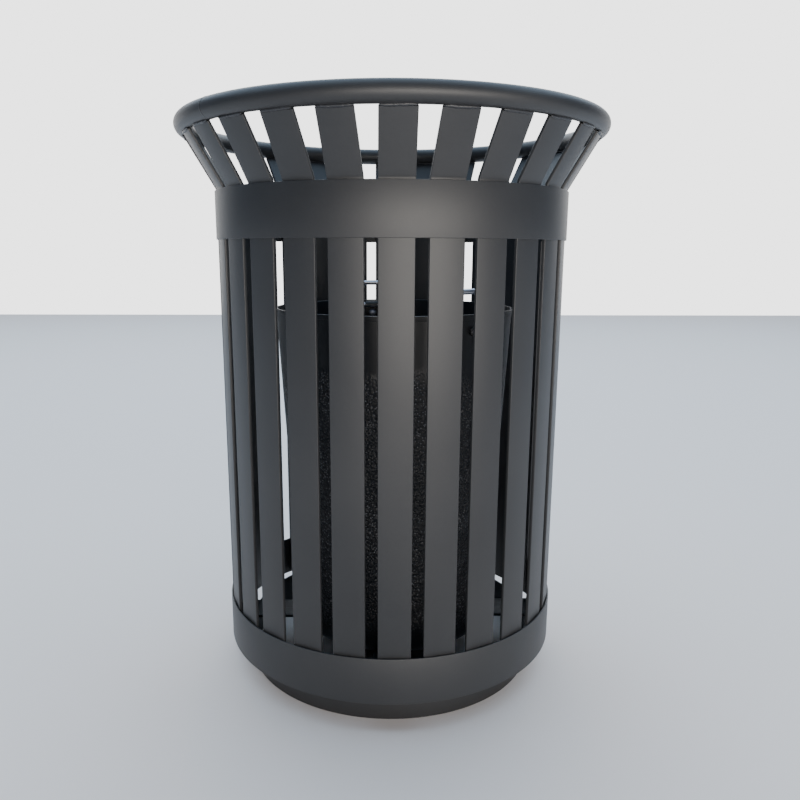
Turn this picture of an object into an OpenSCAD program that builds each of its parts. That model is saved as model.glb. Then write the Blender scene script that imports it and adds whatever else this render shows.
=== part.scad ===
// Slatted steel litter bin with a flared top, two flat bands, an inset base ring
// and a loose plastic liner that lifts out by two bar handles.
// Millimetres, +Z up. The origin is the centre of the base on the ground, and the
// front faces -Y. Azimuths run from the front towards +X.

/* [Body] */
// Height from the ground to the top of the rim tube
overall_h = 940; // [800:5:1130]
// Outer radius of the two bands
body_r = 294; // [240:1:355]
// Width of the flat steel that the bands are rolled from
band_w = 76; // [50:1:100]
// Thickness of the bands
band_t = 2.5; // [1.5:0.5:5]
// Height of the lower band's bottom edge above the ground
lower_band_z = 50; // [40:1:70]
// Height from the top of the upper band to the top of the rim tube
flare_h = 115; // [95:1:140]

/* [Slats] */
// Number of slats
slat_count = 26; // [20:2:30]
// Width of a slat
slat_w = 50.8; // [30:0.1:62]
// Thickness of a slat
slat_t = 5; // [3:0.5:8]
// Height of the slats' bottom ends above the lower band's bottom edge
slat_lift = 6; // [0:1:20]
// Radius of the outer face in the bend where a slat flares out
slat_bend_r = 8; // [4:1:16]

/* [Rim] */
// Diameter of the rim tube
rim_d = 30; // [20:1:45]
// Wall of the rim tube
rim_wall = 2.5; // [1.5:0.5:4]
// Distance that the rim tube's centreline lies outside the slats' outer face
flare_out = 47.5; // [30:0.5:70]
// Distance that the slats' middle plane passes outside the rim tube's centreline
slat_rim_offset = 6; // [0:0.5:9]

/* [Base] */
// Distance that the base ring is set in from the bands
base_inset = 37; // [28:1:60]
// Height of the base ring
base_ring_h = 62; // [52:1:75]
// Thickness of the base ring
base_ring_t = 4; // [2:0.5:6]
// Width of the flat bars that cross the base
base_bar_w = 63.5; // [40:0.5:80]
// Thickness of the flat bars that cross the base
base_bar_t = 5; // [3:0.5:8]
// Diameter of the ground anchor's hole, in the middle of the long bar
anchor_hole_d = 14; // [10:0.5:18]

/* [Liner] */
// Height of the liner
liner_h = 569; // [450:1:600]
// Outer radius of the liner's wall at the top
liner_top_r = 201.5; // [165:0.5:235]
// Outer radius of the liner's wall at the bottom
liner_bottom_r = 169; // [140:0.5:195]
// Thickness of the liner's wall
liner_wall = 3; // [2:0.5:5]
// Distance that the lip stands out from the wall
lip_out = 4; // [3.5:0.5:10]
// Height of the lip
lip_h = 8; // [6:0.5:16]
// Height of the raised middle of the floor
floor_rise = 12; // [6:1:20]
// Distance that the liner stands to the right of the bin's middle
liner_shift = 5; // [0:0.5:12]

/* [Handles] */
// Diameter of the handles' round bar
handle_d = 9; // [6:0.5:12]
// Width of a handle along the wall, between the middles of its uprights
handle_w = 110; // [80:1:140]
// Height of a handle's top bar above the liner's lip, to the bar's middle
handle_rise = 34; // [24:1:50]
// Depth of a handle's bottom bar below the liner's lip, to the bar's middle
handle_drop = 9; // [7:1:30]
// Radius of a handle's corners, to the bar's middle
handle_corner_r = 12; // [8:1:16]
// Azimuth of the rear handle
rear_handle_az = 191; // [150:1:200]
// Azimuth of the front handle
front_handle_az = 35; // [-40:1:60]
// Width of the clip that holds a handle
clip_w = 34; // [20:1:50]
// Thickness of the clip
clip_t = 2.5; // [1.5:0.5:4]
// Distance of the bolt below the handle's bottom bar
bolt_drop = 17; // [15:1:25]
// Thread diameter of the bolts
bolt_d = 8; // [5:1:10]

/* [Hidden] */
$fn = 96;
coat = "#3b3e44";
plastic = "#17181a";
zinc = "#b4b8c2";

// Gaps where pieces meet: welded seats, the liner on its bars, and bolts in holes
seat = 0.2;
rest_gap = 0.3;
bolt_play = 0.2;

// Bands and slats
band_inner_r = body_r - band_t;
slat_corner_r = band_inner_r - seat;
slat_face_r = sqrt(pow(slat_corner_r, 2) - pow(slat_w / 2, 2));
slat_back_r = slat_face_r - slat_t;
upper_band_top = overall_h - flare_h;
slat_names = [for (i = [1:slat_count]) str("slat_", i < 10 ? "0" : "", i)];

// Rim tube, and the angle at which the slats' middle plane runs past its centreline
rim_r = slat_face_r + flare_out;
rim_z = overall_h - rim_d / 2;
bend_mid_r = slat_bend_r + slat_t / 2;
bend_to_rim = [rim_r - slat_face_r - slat_bend_r, rim_z - upper_band_top];
flare_side = bend_mid_r + slat_rim_offset;
flare_len = sqrt(pow(norm(bend_to_rim), 2) - pow(flare_side, 2));
flare_angle = atan2(bend_to_rim.x, bend_to_rim.y) + atan2(flare_side, flare_len);
tube_reach = sqrt(pow(rim_d / 2, 2) - pow(max(slat_rim_offset - slat_t / 2, 0), 2));
rim_sag = rim_r - sqrt(pow(rim_r, 2) - pow(slat_w / 2, 2));
slat_end_gap = seat + rim_sag * sin(flare_angle);

// Base
base_r = body_r - base_inset;
base_bar_end_r = slat_back_r - seat;
base_top = base_ring_h + base_bar_t;

// Liner
liner_z = base_top + rest_gap;
lip_z = liner_z + liner_h;
lip_r = liner_top_r + lip_out;
corner_r = 10;
foot_w = 16;
lip_round = 2;
wall_taper = (liner_top_r - liner_bottom_r) / liner_h;

// Handles: their bars follow the wall, and the clip lies between bar and wall
handle_low_z = lip_z - handle_drop;
handle_top_z = lip_z + handle_rise;
bolt_z = handle_low_z - bolt_drop;
clip_back_r = wall_r(bolt_z - bolt_drop) - liner_wall - seat;
handle_r = clip_back_r - clip_t - handle_d / 2 - seat;
bar_sides = 16;
clip_half_angle = asin(clip_w / 2 / handle_r);
bolt_head_r = 8.5;
bolt_head_h = 4.5;
washer_r = 10;
washer_t = 1.6;
washer_face_r = wall_r(bolt_z + washer_r) + seat;
nut_h = 6.5;
nut_r = 7.5;
bolt_end = 3;

// Outer radius of the liner's wall at height z above the ground
function wall_r(z) = liner_bottom_r + (z - liner_z) * wall_taper;

// Points on an arc round c, from angle a0 to angle a1
function arc(c, r, a0, a1, steps = 8) =
    [for (i = [0:steps]) let (a = a0 + (a1 - a0) * i / steps) c + r * [cos(a), sin(a)]];

// Turns a shape drawn on the +X side to azimuth az, round the bin's axis
module at_azimuth(az) {
    rotate([0, 0, az - 90]) children();
}

module ring(r, t, z, h) {
    translate([0, 0, z])
        rotate_extrude($fn = 180)
            translate([r - t, 0]) square([t, h]);
}

// ---- Frame ----

module rim_tube() {
    color(coat)
        translate([0, 0, rim_z])
            rotate_extrude($fn = 180)
                translate([rim_r, 0])
                    difference() {
                        circle(d = rim_d, $fn = 48);
                        circle(d = rim_d - 2 * rim_wall, $fn = 48);
                    }
}

module upper_band() {
    color(coat) ring(body_r, band_t, upper_band_top - band_w, band_w);
}

module lower_band() {
    color(coat) ring(body_r, band_t, lower_band_z, band_w);
}

// Side view of a slat: straight up inside the bands, then bent out to the rim tube
function slat_outline() =
    let (
        bend = [slat_face_r + slat_bend_r, upper_band_top],
        foot = lower_band_z + slat_lift,
        along = [sin(flare_angle), cos(flare_angle)],
        end = along * (flare_len - tube_reach - slat_end_gap),
        outer = arc(bend, slat_bend_r, 180, 180 - flare_angle),
        inner = arc(bend, slat_bend_r + slat_t, 180 - flare_angle, 180)
    )
    concat(
        [[slat_face_r, foot]], outer, [outer[len(outer) - 1] + end],
        [inner[0] + end], inner, [[slat_back_r, foot]]
    );

module slat(i) {
    color(coat)
        at_azimuth(i * 360 / slat_count)
            translate([0, slat_w / 2, 0])
                rotate([90, 0, 0])
                    linear_extrude(slat_w) polygon(slat_outline());
}

// ---- Base ----

module base_ring() {
    color(coat) ring(base_r, base_ring_t, 0, base_ring_h);
}

// A flat bar along Y from y0 to y1, its ends cut to the round of the slats
module base_bar(y0, y1) {
    intersection() {
        translate([-base_bar_w / 2, y0, base_ring_h]) cube([base_bar_w, y1 - y0, base_bar_t]);
        cylinder(r = base_bar_end_r, h = base_top + base_bar_t, $fn = 180);
    }
}

module base_bar_long() {
    color(coat)
        difference() {
            rotate([0, 0, 90]) base_bar(-body_r, body_r);
            translate([0, 0, base_ring_h - base_bar_t])
                cylinder(d = anchor_hole_d, h = 3 * base_bar_t, $fn = 48);
        }
}

module base_bar_front() {
    color(coat) base_bar(-body_r, -base_bar_w / 2 - seat);
}

module base_bar_rear() {
    color(coat) base_bar(base_bar_w / 2 + seat, body_r);
}

// ---- Liner ----

module liner_place() {
    translate([liner_shift, 0, 0]) children();
}

// Half section of the liner: floor with a raised middle, tapered wall and turned-out lip
function liner_outline() =
    let (
        foot_in = liner_bottom_r - corner_r - foot_w,
        rise_in = foot_in - floor_rise,
        top = liner_h - lip_round
    )
    concat(
        [[0, floor_rise], [rise_in, floor_rise], [foot_in, 0]],
        arc([liner_bottom_r - corner_r, corner_r], corner_r, -90, 0),
        [[liner_top_r, liner_h - liner_wall], [lip_r - lip_round, liner_h - liner_wall]],
        [[lip_r - lip_round, liner_h - lip_h], [lip_r, liner_h - lip_h]],
        arc([lip_r - lip_round, top], lip_round, 0, 90),
        arc([liner_top_r - liner_wall + lip_round, top], lip_round, 90, 180),
        arc([liner_bottom_r - corner_r, corner_r], corner_r - liner_wall, 0, -90),
        [[foot_in, liner_wall], [rise_in, floor_rise + liner_wall], [0, floor_rise + liner_wall]]
    );

module liner() {
    color(plastic)
        liner_place()
            difference() {
                translate([0, 0, liner_z]) rotate_extrude($fn = 180) polygon(liner_outline());
                at_handles() bolt_hole();
            }
}

// ---- Handles ----

module at_handles() {
    for (az = [rear_handle_az, front_handle_az])
        at_azimuth(az) children();
}

module bolt_hole() {
    translate([handle_r, 0, bolt_z])
        rotate([0, 90, 0])
            cylinder(d = bolt_d + 2 * bolt_play, h = 4 * handle_d, $fn = 48);
}

// Centreline of a handle's bar with the wall unrolled flat: a rectangle with round corners
function handle_path() =
    let (
        x = handle_w / 2 - handle_corner_r,
        low = handle_low_z + handle_corner_r,
        high = handle_top_z - handle_corner_r
    )
    concat(
        [for (i = [-3:3]) [x * i / 4, handle_low_z]],
        arc([x, low], handle_corner_r, -90, 0),
        arc([x, high], handle_corner_r, 0, 90),
        [for (i = [3:-1:-3]) [x * i / 4, handle_top_z]],
        arc([-x, high], handle_corner_r, 90, 180),
        arc([-x, low], handle_corner_r, 180, 270)
    );

// Points round the bar at point p of its unrolled centreline, where it runs along unit vector t
function bar_ring(p, t) =
    let (
        az = p.x / handle_r * 180 / PI,
        out = [cos(az), sin(az), 0],
        side = [sin(az) * t.y, -cos(az) * t.y, t.x]
    )
    [for (i = [0:bar_sides - 1]) let (a = 360 * i / bar_sides)
        handle_r * out + [0, 0, p.y] + handle_d / 2 * (cos(a) * out + sin(a) * side)];

// A closed loop of round bar that follows the liner's inner wall and stands up from it
module handle() {
    path = handle_path();
    n = len(path);
    points = [for (i = [0:n - 1])
        let (step = path[(i + 1) % n] - path[(i + n - 1) % n])
        each bar_ring(path[i], step / norm(step))];
    faces = [for (i = [0:n - 1], j = [0:bar_sides - 1])
        let (next_i = (i + 1) % n, next_j = (j + 1) % bar_sides)
        [i * bar_sides + j, i * bar_sides + next_j, next_i * bar_sides + next_j, next_i * bar_sides + j]];
    polyhedron(points, faces);
}

// Side view of the clip: a plate on the wall, rolled over the handle's bottom bar
module clip_outline() {
    bar = [handle_r, handle_low_z];
    inner_r = handle_d / 2 + seat;
    difference() {
        union() {
            translate(bar) circle(r = inner_r + clip_t, $fn = 48);
            translate([clip_back_r - clip_t, bolt_z - bolt_drop])
                square([clip_t, bar.y - bolt_z + bolt_drop]);
        }
        translate(bar) circle(r = inner_r, $fn = 48);
        translate([handle_r - handle_d, handle_low_z - handle_d])
            square([handle_d + inner_r, handle_d]);
    }
}

module clip() {
    difference() {
        rotate([0, 0, -clip_half_angle])
            rotate_extrude(angle = 2 * clip_half_angle, $fn = 180) clip_outline();
        bolt_hole();
    }
}

module rear_handle() {
    color(zinc) liner_place() at_azimuth(rear_handle_az) handle();
}

module front_handle() {
    color(zinc) liner_place() at_azimuth(front_handle_az) handle();
}

module rear_handle_clip() {
    color(zinc) liner_place() at_azimuth(rear_handle_az) clip();
}

module front_handle_clip() {
    color(zinc) liner_place() at_azimuth(front_handle_az) clip();
}

// A bolt along +X: domed head inside the liner, thread out through clip and wall
module bolt() {
    face = sqrt(pow(clip_back_r - clip_t, 2) - pow(bolt_head_r, 2)) - seat;
    reach = washer_face_r + washer_t + nut_h + bolt_end - face;
    dome_r = (pow(bolt_head_r, 2) + pow(bolt_head_h, 2)) / (2 * bolt_head_h);
    translate([face, 0, bolt_z])
        rotate([0, 90, 0]) {
            cylinder(d = bolt_d, h = reach, $fn = 48);
            intersection() {
                translate([0, 0, dome_r - bolt_head_h]) sphere(r = dome_r, $fn = 64);
                translate([0, 0, -bolt_head_h]) cylinder(r = bolt_head_r, h = bolt_head_h, $fn = 64);
            }
        }
}

module on_bolt(from, h) {
    translate([from, 0, bolt_z])
        rotate([0, 90, 0])
            difference() {
                linear_extrude(h) children();
                translate([0, 0, -h]) cylinder(d = bolt_d + bolt_play, h = 3 * h, $fn = 48);
            }
}

module handle_bolts() {
    color(zinc) liner_place() at_handles() bolt();
}

module handle_washers() {
    color(zinc) liner_place() at_handles() on_bolt(washer_face_r, washer_t) circle(r = washer_r);
}

module handle_nuts() {
    color(zinc)
        liner_place() at_handles()
            on_bolt(washer_face_r + washer_t, nut_h) circle(r = nut_r, $fn = 6);
}

rim_tube();
upper_band();
lower_band();
base_ring();
base_bar_long();
base_bar_front();
base_bar_rear();
for (i = [0:slat_count - 1])
    slat(i);
liner();
rear_handle();
front_handle();
rear_handle_clip();
front_handle_clip();
handle_bolts();
handle_washers();
handle_nuts();
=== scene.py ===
import math
import random

import bmesh
import bpy
from mathutils import Matrix, Vector


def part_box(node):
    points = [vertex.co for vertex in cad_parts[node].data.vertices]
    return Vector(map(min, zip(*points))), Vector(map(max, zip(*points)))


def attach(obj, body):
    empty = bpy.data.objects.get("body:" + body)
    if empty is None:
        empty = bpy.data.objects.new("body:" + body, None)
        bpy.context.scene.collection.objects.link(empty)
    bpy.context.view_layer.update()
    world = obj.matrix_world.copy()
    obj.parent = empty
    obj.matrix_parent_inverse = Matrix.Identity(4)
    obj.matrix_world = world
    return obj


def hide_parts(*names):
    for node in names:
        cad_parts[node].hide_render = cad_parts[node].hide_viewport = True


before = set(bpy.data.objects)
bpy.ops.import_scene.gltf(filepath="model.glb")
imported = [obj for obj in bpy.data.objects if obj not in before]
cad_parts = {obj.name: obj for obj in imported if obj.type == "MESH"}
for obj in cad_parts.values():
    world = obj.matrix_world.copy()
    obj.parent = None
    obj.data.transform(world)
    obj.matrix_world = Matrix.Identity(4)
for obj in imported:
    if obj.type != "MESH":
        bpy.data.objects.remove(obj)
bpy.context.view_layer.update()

MM = 0.001
ORIGIN = (0.0, 0.0, 0.0)
UP = Vector((0.0, 0.0, 1.0))
BIN = "bin_frame"
LINER = "liner_set"

# Sizes of the bin, read from the frame
SLATS = sorted(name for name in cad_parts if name.startswith("slat_"))
SLAT_LOW, SLAT_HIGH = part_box("slat_01")
RIM_LOW, RIM_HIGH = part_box("rim_tube")
BAND_LOW, BAND_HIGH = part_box("upper_band")
LINER_LOW, LINER_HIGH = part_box("liner")
SLAT_WIDTH = SLAT_HIGH.x - SLAT_LOW.x
SLAT_BACK = -SLAT_HIGH.y
TUBE_R = (RIM_HIGH.z - RIM_LOW.z) / 2
RIM_R = RIM_HIGH.x - TUBE_R
RIM_Z = RIM_HIGH.z - TUBE_R
TUBE_REACH = 14.59 * MM
LINER_X = (LINER_LOW.x + LINER_HIGH.x) / 2
LIP_R = (LINER_HIGH.x - LINER_LOW.x) / 2
LINER_HEIGHT = LINER_HIGH.z - LINER_LOW.z

# Sizes that the bin's drawing gives and no box shows
SLAT_T = 5 * MM
SLAT_FACE = SLAT_BACK + SLAT_T
SLAT_BEND_R = 8 * MM
SLAT_END_GAP = 0.68 * MM
SLAT_RIM_OFFSET = 6 * MM
BAND_T = 2.5 * MM
BASE_T = 4 * MM
LINER_WALL = 3 * MM
LIP_OUT = 4 * MM
LIP_H = 8 * MM
LINER_TOP_R = LIP_R - LIP_OUT
LINER_BOTTOM_R = 169 * MM
LINER_CORNER_R = 10 * MM
LINER_FOOT = 16 * MM
FLOOR_RISE = 12 * MM
HANDLE_BAR_D = 9 * MM
HANDLE_CORNER_R = 12 * MM
HANDLE_WIDTH = 110 * MM
HANDLE_R = 188.6 * MM
REAR_HANDLE_AZIMUTH = 191
FRONT_HANDLE_AZIMUTH = 35
SEAM_AZIMUTH = -50

# The camera: eye position in metres, angles in degrees
EYE = (-0.0330, -1.3296, 0.7319)
EYE_DOWN = 12.19
EYE_HEADING = -1.15
EYE_ROLL = 0.18


# ---- Small helpers -------------------------------------------------------------

def start(add, name, **settings):
    """A new piece from one of Blender's primitives, alone in the selection and in edit mode."""
    if bpy.context.object and bpy.context.object.mode == "EDIT":
        bpy.ops.object.mode_set(mode="OBJECT")
    bpy.ops.object.select_all(action="DESELECT")
    add(**settings)
    piece = bpy.context.object
    piece.name = name
    piece.data.name = name
    bpy.ops.object.transform_apply(location=True, rotation=True, scale=True)
    bpy.ops.object.mode_set(mode="EDIT")
    return piece


def pick(kind, test):
    """Selects the vertices, edges or faces of the edited piece whose middle passes the test."""
    bpy.ops.mesh.select_mode(type=kind)
    bpy.ops.mesh.select_all(action="DESELECT")
    shape = bmesh.from_edit_mesh(bpy.context.object.data)
    if kind == "VERT":
        for vert in shape.verts:
            vert.select_set(test(vert.co))
    elif kind == "EDGE":
        for edge in shape.edges:
            edge.select_set(test((edge.verts[0].co + edge.verts[1].co) / 2))
    else:
        for face in shape.faces:
            face.select_set(test(face.calc_center_median()))
    shape.select_flush_mode()
    bmesh.update_edit_mesh(bpy.context.object.data)


def extrude(move):
    bpy.ops.mesh.extrude_region_move(TRANSFORM_OT_translate={"value": tuple(move)})


def turn(angle, axis, centre=ORIGIN):
    """Turns the selection by the right-hand rule about an axis through centre."""
    bpy.ops.transform.rotate(value=-angle, orient_axis=axis, center_override=centre)


def scale(factors, centre=ORIGIN):
    bpy.ops.transform.resize(value=factors, center_override=centre)


def shift(move):
    bpy.ops.transform.translate(value=tuple(move))


def merge(distance=0.01 * MM):
    bpy.ops.mesh.select_all(action="SELECT")
    bpy.ops.mesh.remove_doubles(threshold=distance)
    bpy.ops.mesh.normals_make_consistent(inside=False)


def leave(piece, sharp=35):
    """Back to object mode, with smooth shading except across edges sharper than the angle."""
    bpy.ops.object.mode_set(mode="OBJECT")
    bpy.ops.object.select_all(action="DESELECT")
    piece.select_set(True)
    bpy.context.view_layer.objects.active = piece
    bpy.ops.object.shade_smooth_by_angle(angle=math.radians(sharp))
    return piece


def modify(piece, kind, **settings):
    """Adds a modifier with these settings and applies it."""
    bpy.ops.object.select_all(action="DESELECT")
    piece.select_set(True)
    bpy.context.view_layer.objects.active = piece
    modifier = piece.modifiers.new(kind.title(), kind)
    for name, value in settings.items():
        setattr(modifier, name, value)
    bpy.ops.object.modifier_apply(modifier=modifier.name)


def copy_of(piece, name, matrix):
    """A copy with its own mesh, moved by the matrix."""
    twin = bpy.data.objects.new(name, piece.data.copy())
    twin.data.name = name
    twin.data.transform(matrix)
    bpy.context.collection.objects.link(twin)
    return twin


def joined(name, pieces):
    """One object from several."""
    bpy.ops.object.select_all(action="DESELECT")
    for piece in pieces:
        piece.select_set(True)
    bpy.context.view_layer.objects.active = pieces[0]
    bpy.ops.object.join()
    pieces[0].name = name
    pieces[0].data.name = name
    return pieces[0]


def set_down(piece, body, slot, material, *nodes):
    """Gives a finished piece its body and material, and hides the nodes that it stands for. The slot is
    not used.
    """
    piece.data.materials.clear()
    piece.data.materials.append(material)
    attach(piece, body)
    if nodes:
        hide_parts(*nodes)
    return piece


def about_axis(angle):
    return Matrix.Rotation(angle, 4, "Z")


# ---- Materials -----------------------------------------------------------------

class Signal:
    """One output of a material's nodes. Arithmetic on it adds Math nodes."""

    def __init__(self, finish, socket):
        self.finish = finish
        self.socket = socket

    def _math(self, operation, first, second):
        return self.finish.node("ShaderNodeMath", {"operation": operation}, {0: first, 1: second})

    def __add__(self, other):
        return self._math("ADD", self, other)

    def __mul__(self, other):
        return self._math("MULTIPLY", self, other)

    __radd__ = __add__
    __rmul__ = __mul__


class Finish:
    """A material, and the one way in which its nodes are added."""

    def __init__(self, name):
        self.material = bpy.data.materials.new(name)
        self.material.use_nodes = True
        self.tree = self.material.node_tree
        self.shader = self.tree.nodes["Principled BSDF"]
        self.place = self.node("ShaderNodeTexCoord", {}, {}, "Object")

    def put(self, socket, value):
        if isinstance(value, Signal):
            self.tree.links.new(value.socket, socket)
        else:
            socket.default_value = value

    def node(self, kind, settings, inputs, output=0):
        """Adds a node with these settings and inputs, and gives back one of its outputs."""
        node = self.tree.nodes.new(kind)
        for name, value in settings.items():
            setattr(node, name, value)
        for name, value in inputs.items():
            self.put(node.inputs[name], value)
        return Signal(self, node.outputs[output])

    def set(self, **values):
        """Sets sockets of the shader, named with underscores for spaces."""
        for name, value in values.items():
            self.put(self.shader.inputs[name.replace("_", " ")], value)

    def noise(self, scale, detail):
        inputs = {"Vector": self.place, "Scale": scale, "Detail": detail, "Roughness": 0.5}
        return self.node("ShaderNodeTexNoise", {}, inputs)

    def window(self, value, low, high):
        """0 below low, 1 above high and a smooth step between."""
        inputs = {"Value": value, "From Min": low, "From Max": high}
        return self.node("ShaderNodeMapRange", {"interpolation_type": "SMOOTHSTEP"}, inputs)

    def mix(self, factor, first, second):
        """A blend of two colours."""
        return self.node("ShaderNodeMix", {"data_type": "RGBA"}, {0: factor, 6: first, 7: second}, 2)

    def height(self):
        """Height above the ground, in metres."""
        return self.node("ShaderNodeSeparateXYZ", {}, {0: self.place}, "Z")

    def bump(self, height, distance, strength=1.0, under=None):
        inputs = {"Height": height, "Distance": distance, "Strength": strength}
        if under:
            inputs["Normal"] = under
        return self.node("ShaderNodeBump", {}, inputs)


def powder_coat():
    """Satin charcoal powder coat: a fine orange peel, and a slightly uneven tone and gloss."""
    coat = Finish("charcoal_powder_coat")
    cloud = coat.noise(5.0, 3.0)
    grain = coat.noise(240.0, 3.0)
    peel = coat.noise(900.0, 2.0)
    tone = coat.window(cloud * 0.75 + grain * 0.25, 0.3, 0.7)
    colour = coat.mix(tone, (0.017, 0.0175, 0.019, 1), (0.024, 0.0245, 0.026, 1))
    rough = 0.41 + grain * 0.07 + cloud * 0.05
    wave = coat.noise(14.0, 2.0)
    skin = coat.bump(peel, 0.12 * MM, 0.55, coat.bump(wave, 0.5 * MM, 0.25))
    coat.set(Base_Color=colour, Roughness=rough, Normal=skin, Specular_IOR_Level=0.5)
    return coat.material


def weld_coat():
    """The same coat over a weld bead, a little glossier and rippled."""
    coat = Finish("powder_coat_over_weld")
    ripple = coat.noise(500.0, 3.0)
    colour = coat.mix(ripple, (0.017, 0.018, 0.021, 1), (0.025, 0.026, 0.030, 1))
    coat.set(Base_Color=colour, Roughness=0.34 + ripple * 0.12, Normal=coat.bump(ripple, 0.5 * MM, 0.8))
    return coat.material


def liner_plastic():
    """Black moulded plastic: smooth near the lip, pebbled lower down, with painted glints on the peaks.
    """
    skin = Finish("black_pebbled_plastic")
    edge = skin.height() + skin.noise(22.0, 3.0) * 0.07
    top = LINER_HIGH.z
    pebbled = skin.window(edge, top - 0.045, top - 0.085)
    pebbled = pebbled * skin.window(edge, LINER_LOW.z + 0.04, LINER_LOW.z + 0.10)
    cells = skin.node("ShaderNodeTexVoronoi", {"feature": "SMOOTH_F1"},
                      {"Vector": skin.place, "Scale": 230.0, "Smoothness": 0.4}, "Distance")
    fine = skin.noise(620.0, 3.0)
    cloud = skin.noise(14.0, 4.0)
    peak = skin.window(cells + fine * 0.25, 0.52, 0.22)
    # Painted glints: in patches, the pebble peaks get a lighter grey colour that stands in for
    # highlights.
    painted_glint = peak * pebbled * skin.window(cloud, 0.32, 0.62)
    dimple = skin.bump((cells + fine * 0.4) * pebbled, 2.6 * MM, 1.0)
    micro = skin.bump(fine, 0.10 * MM, 0.5, dimple)
    dust = skin.window(cloud, 0.5, 0.8) * 0.3
    black = skin.mix(dust, (0.0045, 0.0055, 0.008, 1), (0.014, 0.015, 0.018, 1))
    colour = skin.mix(painted_glint, black, (0.17, 0.175, 0.19, 1))
    rough = 0.32 + fine * 0.12 + dust * 0.3
    skin.set(Base_Color=colour, Roughness=rough, Normal=micro)
    return skin.material


def zinc_plate():
    """Bright zinc plating with faint cloudy crystals."""
    zinc = Finish("bright_zinc_plate")
    crystal = zinc.node("ShaderNodeTexVoronoi", {}, {"Vector": zinc.place, "Scale": 180.0}, "Distance")
    cloud = zinc.noise(60.0, 3.0)
    colour = zinc.mix(cloud, (0.52, 0.53, 0.60, 1), (0.68, 0.69, 0.74, 1))
    rough = 0.26 + crystal * 0.14 + cloud * 0.08
    zinc.set(Base_Color=colour, Metallic=1.0, Roughness=rough, Normal=zinc.bump(cloud, 0.1 * MM, 0.4))
    return zinc.material


def studio_floor():
    """Pale matt studio floor."""
    floor = Finish("pale_floor")
    floor.set(Base_Color=(0.90, 0.82, 0.77, 1), Roughness=0.9)
    return floor.material


# ---- Frame ---------------------------------------------------------------------

def rolled_ring(name, r_out, thickness, z_low, z_high, edge=0.6 * MM, steps=208):
    """Flat steel rolled into a ring: a round-cornered section, spun about the bin's axis."""
    ring = start(bpy.ops.mesh.primitive_plane_add, name, size=1)
    scale((thickness, z_high - z_low, 1))
    bpy.ops.mesh.bevel(offset=edge, segments=3, affect="VERTICES")
    turn(math.pi / 2, "X")
    shift((r_out - thickness / 2, 0, (z_low + z_high) / 2))
    bpy.ops.mesh.delete(type="ONLY_FACE")
    bpy.ops.mesh.select_all(action="SELECT")
    bpy.ops.mesh.spin(steps=steps, angle=2 * math.pi, center=ORIGIN, axis=UP)
    merge()
    return leave(ring, 50)


def band(node, thickness):
    low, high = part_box(node)
    return rolled_ring(node + "_ring", high.x, thickness, low.z, high.z)


def rim_ring():
    """The rim: a round tube rolled into a ring."""
    ring = start(bpy.ops.mesh.primitive_circle_add, "rim_tube_ring", vertices=40, radius=TUBE_R)
    turn(math.pi / 2, "X")
    shift((RIM_R, 0, RIM_Z))
    bpy.ops.mesh.spin(steps=240, angle=2 * math.pi, center=ORIGIN, axis=UP)
    merge()
    return leave(ring, 60)


def rim_seam():
    """The ground-down butt weld where the rim tube's ends meet."""
    seam = start(bpy.ops.mesh.primitive_torus_add, "rim_tube_seam", major_radius=TUBE_R - 0.45 * MM,
                 minor_radius=0.75 * MM, major_segments=72, minor_segments=10)
    scale((1, 1, 2.6))
    bpy.ops.transform.vertex_random(offset=0.12 * MM, seed=4)
    turn(math.pi / 2, "X")
    shift((RIM_R, 0, RIM_Z))
    turn(math.radians(SEAM_AZIMUTH - 90), "Z")
    return leave(seam, 60)


def slat_lean():
    """The slats' lean above the upper band, and the length from there to the rim tube's middle."""
    side = SLAT_BEND_R + SLAT_T / 2 + SLAT_RIM_OFFSET
    over = RIM_R - SLAT_FACE - SLAT_BEND_R
    up = RIM_Z - BAND_HIGH.z
    run = math.sqrt(over ** 2 + up ** 2 - side ** 2)
    return math.atan2(over, up) + math.atan2(side, run), run


def front_slat():
    """The slat at the front: a round-edged flat bar, bent out above the upper band."""
    lean, run = slat_lean()
    steps = 10
    bend = (0, -SLAT_FACE - SLAT_BEND_R, BAND_HIGH.z)
    slat = start(bpy.ops.mesh.primitive_plane_add, "slat", size=1)
    scale((SLAT_WIDTH, SLAT_T, 1))
    bpy.ops.mesh.bevel(offset=0.9 * MM, segments=3, affect="VERTICES")
    shift((0, -SLAT_FACE + SLAT_T / 2, SLAT_LOW.z))
    extrude((0, 0, BAND_HIGH.z - SLAT_LOW.z))
    for _ in range(steps):
        extrude(ORIGIN)
        turn(lean / steps, "X", bend)
    reach = run - TUBE_REACH - SLAT_END_GAP
    extrude((0, -math.sin(lean) * reach, math.cos(lean) * reach))
    pick("FACE", lambda middle: abs(middle.x) < MM and middle.z < SLAT_LOW.z + MM)
    bpy.ops.mesh.bevel(offset=0.5 * MM, segments=2, affect="EDGES")
    bpy.ops.mesh.select_all(action="SELECT")
    bpy.ops.mesh.normals_make_consistent(inside=False)
    return leave(slat, 40)


def slats(material):
    """All the slats, each a copy of the front one, numbered round from the front."""
    first = front_slat()
    for number, node in enumerate(SLATS):
        place = about_axis(number * 2 * math.pi / len(SLATS))
        set_down(copy_of(first, node + "_bar", place), BIN, "powder_coat", material, node)
    bpy.data.objects.remove(first)


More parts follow.
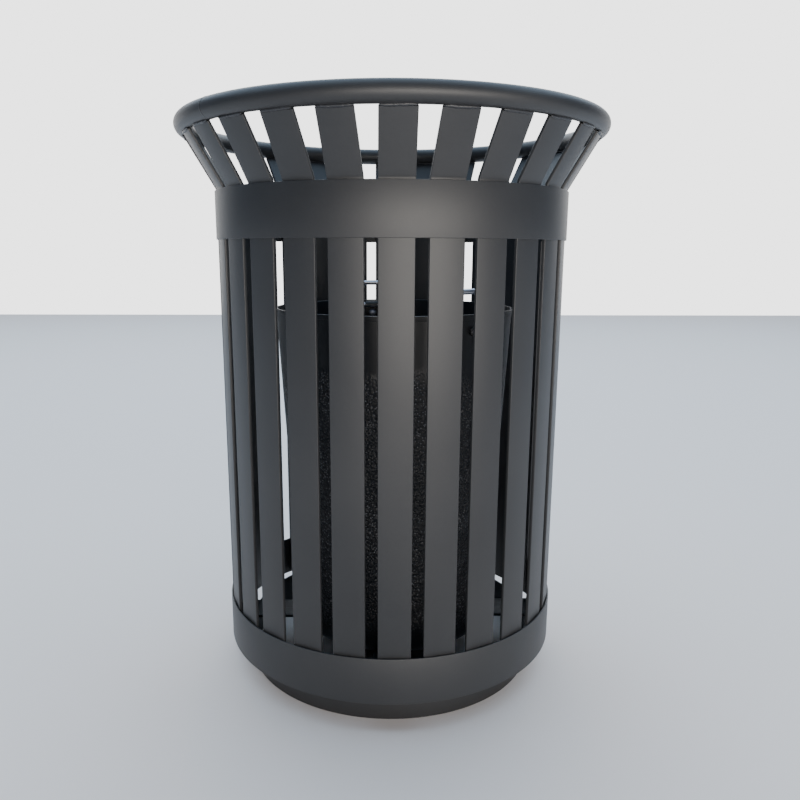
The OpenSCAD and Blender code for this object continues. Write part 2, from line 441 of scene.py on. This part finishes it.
def bead(name, length, radius, seed):
    """A hand-laid weld bead along X: overlapping puddles that taper off at both ends."""
    chance = random.Random(seed)
    steps = 22
    puddle = 3
    sides = 8
    size = 0.35
    weld = start(bpy.ops.mesh.primitive_circle_add, name, vertices=sides, radius=radius * size,
                 fill_type="NGON", location=(-length / 2, 0, 0), rotation=(0, math.pi / 2, 0))
    for step in range(1, steps + 1):
        taper = min(1.0, 0.45 + 1.6 * min(step, steps - step) / steps * 2)
        ripple = 0.84 + 0.16 * abs(math.cos(math.pi * step / puddle))
        wanted = taper * ripple * chance.uniform(0.88, 1.12)
        if step == steps:
            wanted = 0.35
        extrude((length / steps, 0, 0))
        middle = (-length / 2 + step * length / steps, 0, 0)
        scale((1, wanted / size, wanted / size), middle)
        shift((0, 0, chance.uniform(-0.1, 0.1) * radius))
        size = wanted
    bpy.ops.mesh.select_all(action="SELECT")
    bpy.ops.mesh.normals_make_consistent(inside=False)
    return leave(weld, 80)


def slat_welds(material):
    """Fillet welds where each slat's end meets the rim tube, outside and inside."""
    lean, _ = slat_lean()
    along = Vector((0, -math.sin(lean), math.cos(lean)))
    out = Vector((0, -math.cos(lean), -math.sin(lean)))
    rim_middle = Vector((0, -RIM_R, RIM_Z))
    for side, below, outside, radius in (("outer", 13.6 * MM, 8.3 * MM, 2.6 * MM),
                                         ("inner", 15.2 * MM, 3.0 * MM, 1.9 * MM)):
        variants = [bead("bead", SLAT_WIDTH - 2 * MM, radius, seed) for seed in range(4)]
        toe = rim_middle - along * below + out * outside
        beads = []
        for number in range(len(SLATS)):
            flip = Matrix.Rotation(math.pi * (number % 2), 4, "Z")
            place = about_axis(number * 2 * math.pi / len(SLATS)) @ Matrix.Translation(toe) @ flip
            beads.append(copy_of(variants[number * 3 % len(variants)], "bead", place))
        set_down(joined(side + "_rim_welds", beads), BIN, "powder_coat", material)
        for variant in variants:
            bpy.data.objects.remove(variant)


def tidy_copy(node, edge):
    """A copy of a CAD node with its triangles merged and its sharp edges rounded."""
    piece = copy_of(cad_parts[node], node + "_piece", Matrix.Identity(4))
    bpy.ops.object.select_all(action="DESELECT")
    piece.select_set(True)
    bpy.context.view_layer.objects.active = piece
    bpy.ops.object.mode_set(mode="EDIT")
    merge()
    bpy.ops.mesh.dissolve_limited(angle_limit=math.radians(0.5))
    bpy.ops.mesh.select_all(action="DESELECT")
    bpy.ops.mesh.select_mode(type="EDGE")
    bpy.ops.mesh.edges_select_sharp(sharpness=math.radians(35))
    bpy.ops.mesh.bevel(offset=edge, segments=2, affect="EDGES", clamp_overlap=True)
    return leave(piece, 35)


# ---- Liner ---------------------------------------------------------------------

def liner_can():
    """The liner: a tapered can with a rounded foot, a raised floor and a turned-out lip."""
    sides = 176
    foot = LINER_LOW.z
    can = start(bpy.ops.mesh.primitive_cone_add, "liner_can", vertices=sides, radius1=LINER_BOTTOM_R,
                radius2=LINER_TOP_R, depth=LINER_HEIGHT, location=(0, 0, foot + LINER_HEIGHT / 2))
    pick("FACE", lambda middle: middle.z > LINER_HIGH.z - MM)
    bpy.ops.mesh.delete(type="ONLY_FACE")
    pick("FACE", lambda middle: middle.z < foot + MM)
    bpy.ops.mesh.bevel(offset=LINER_CORNER_R, segments=6, affect="EDGES")
    pick("FACE", lambda middle: middle.z < foot + 0.1 * MM and middle.xy.length < LINER_FOOT)
    bpy.ops.mesh.inset(thickness=LINER_FOOT)
    bpy.ops.mesh.inset(thickness=FLOOR_RISE)
    shift((0, 0, FLOOR_RISE))
    bpy.ops.mesh.inset(thickness=LINER_BOTTOM_R / 2)
    pick("EDGE", lambda middle: middle.z > LINER_HIGH.z - MM)
    lip = LIP_R / LINER_TOP_R
    extrude(ORIGIN)
    scale((lip, lip, 1))
    extrude((0, 0, -LIP_H))
    bpy.ops.mesh.select_all(action="SELECT")
    bpy.ops.mesh.normals_make_consistent(inside=False)
    shift((LINER_X, 0, 0))
    leave(can, 40)
    modify(can, "SOLIDIFY", thickness=LINER_WALL, offset=-1, use_even_offset=True)
    modify(can, "BEVEL", width=0.8 * MM, segments=3, limit_method="ANGLE", angle_limit=math.radians(50))
    return can


def bar_handle(name, azimuth):
    """A lift handle: a loop of round bar that follows the liner's wall."""
    low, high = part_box("rear_handle")
    height = high.z - low.z - HANDLE_BAR_D
    loop = start(bpy.ops.mesh.primitive_plane_add, name, size=1)
    scale((HANDLE_WIDTH, height, 1))
    bpy.ops.mesh.bevel(offset=HANDLE_CORNER_R, segments=10, affect="VERTICES")
    bpy.ops.mesh.delete(type="ONLY_FACE")
    pick("EDGE", lambda middle: abs(middle.x) < MM)
    bpy.ops.mesh.subdivide(number_cuts=15)
    bpy.ops.object.mode_set(mode="OBJECT")
    bpy.ops.object.convert(target="CURVE")
    loop = bpy.context.object
    loop.data.bevel_depth = HANDLE_BAR_D / 2
    loop.data.bevel_resolution = 6
    bpy.ops.object.convert(target="MESH")
    loop = bpy.context.object
    middle_z = (low.z + high.z) / 2
    for vert in loop.data.vertices:
        angle = vert.co.x / HANDLE_R
        reach = HANDLE_R + vert.co.z
        vert.co = (math.sin(angle) * reach, -math.cos(angle) * reach, middle_z + vert.co.y)
    loop.data.transform(Matrix.Translation((LINER_X, 0, 0)) @ about_axis(math.radians(azimuth)))
    bpy.ops.object.mode_set(mode="EDIT")
    merge()
    return leave(loop, 60)


# ---- The bin -------------------------------------------------------------------

coat = powder_coat()
plastic = liner_plastic()
zinc = zinc_plate()

set_down(rim_ring(), BIN, "powder_coat", coat, "rim_tube")
set_down(rim_seam(), BIN, "powder_coat", coat)
set_down(band("upper_band", BAND_T), BIN, "powder_coat", coat, "upper_band")
set_down(band("lower_band", BAND_T), BIN, "powder_coat", coat, "lower_band")
set_down(band("base_ring", BASE_T), BIN, "powder_coat", coat, "base_ring")
slats(coat)
slat_welds(weld_coat())
for bar in ("base_bar_long", "base_bar_front", "base_bar_rear"):
    set_down(tidy_copy(bar, 0.8 * MM), BIN, "powder_coat", coat, bar)

set_down(liner_can(), LINER, "liner_plastic", plastic, "liner")
set_down(bar_handle("rear_handle_bar", REAR_HANDLE_AZIMUTH), LINER, "zinc_plate", zinc, "rear_handle")
set_down(bar_handle("front_handle_bar", FRONT_HANDLE_AZIMUTH), LINER, "zinc_plate", zinc, "front_handle")
for part, edge in (("rear_handle_clip", 0.5 * MM), ("front_handle_clip", 0.5 * MM),
                   ("handle_washers", 0.3 * MM), ("handle_nuts", 0.4 * MM)):
    set_down(tidy_copy(part, edge), LINER, "powder_coat", coat, part)
set_down(tidy_copy("handle_bolts", 0.3 * MM), LINER, "zinc_plate", zinc, "handle_bolts")


# ---- Studio --------------------------------------------------------------------

def softbox(name, place, target, size, power, colour=(1, 1, 1), spread=180):
    """A large rectangular light that faces the target."""
    lamp = bpy.data.lights.new(name, "AREA")
    lamp.shape = "RECTANGLE"
    lamp.size, lamp.size_y = size
    lamp.energy = power
    lamp.color = colour
    lamp.spread = math.radians(spread)
    holder = bpy.data.objects.new(name, lamp)
    holder.location = place
    holder.rotation_euler = (Vector(target) - Vector(place)).to_track_quat("-Z", "Y").to_euler()
    bpy.context.collection.objects.link(holder)


def floor():
    bpy.ops.object.select_all(action="DESELECT")
    bpy.ops.mesh.primitive_plane_add(size=15)
    plane = bpy.context.object
    plane.name = "studio_floor"
    plane.data.materials.append(studio_floor())


def camera():
    """Below rim height in front of the bin, tilted down to take in the rim and the ground."""
    lens = bpy.data.cameras.new("camera")
    lens.sensor_width = 36
    lens.lens = 33.87
    lens.shift_x = 0.0161
    lens.shift_y = 0.0167
    eye = bpy.data.objects.new("camera", lens)
    tilt = Matrix.Rotation(math.radians(90 - EYE_DOWN), 4, "X")
    roll = Matrix.Rotation(math.radians(EYE_ROLL), 4, "Z")
    place = Matrix.Translation(EYE)
    eye.matrix_world = place @ about_axis(math.radians(EYE_HEADING)) @ tilt @ roll
    bpy.context.collection.objects.link(eye)
    bpy.context.scene.camera = eye


def sky():
    """Plain white studio surround, which lights the bin less, and a little cooler, from the front."""
    world = bpy.data.worlds.new("studio")
    world.use_nodes = True
    tree = world.node_tree
    direction = tree.nodes.new("ShaderNodeTexCoord")
    parts = tree.nodes.new("ShaderNodeSeparateXYZ")
    ramp = tree.nodes.new("ShaderNodeValToRGB")
    ramp.color_ramp.elements[0].position = 0.55
    ramp.color_ramp.elements[0].color = (0.040, 0.055, 0.080, 1)
    ramp.color_ramp.elements[1].position = 0.86
    ramp.color_ramp.elements[1].color = (1, 1, 1, 1)
    tree.links.new(direction.outputs["Generated"], parts.inputs["Vector"])
    tree.links.new(parts.outputs["Y"], ramp.inputs["Fac"])
    rays = tree.nodes.new("ShaderNodeLightPath")
    shown = tree.nodes.new("ShaderNodeMixRGB")
    shown.inputs["Color2"].default_value = (1, 1, 1, 1)
    tree.links.new(rays.outputs["Is Camera Ray"], shown.inputs["Fac"])
    tree.links.new(ramp.outputs["Color"], shown.inputs["Color1"])
    tree.links.new(shown.outputs["Color"], tree.nodes["Background"].inputs["Color"])
    tree.nodes["Background"].inputs["Strength"].default_value = 3.0
    bpy.context.scene.world = world


floor()
sky()
softbox("front_key", (0.7, -2.6, 0.60), (0.05, 0, 0.75), (3.6, 1.1), 33, (1.0, 0.94, 0.86), 90)
softbox("overhead", (0, 3.0, 5.0), (0, 3.0, 0), (12, 9), 660, (0.58, 0.78, 1.0))
camera()

bpy.ops.object.select_all(action="DESELECT")
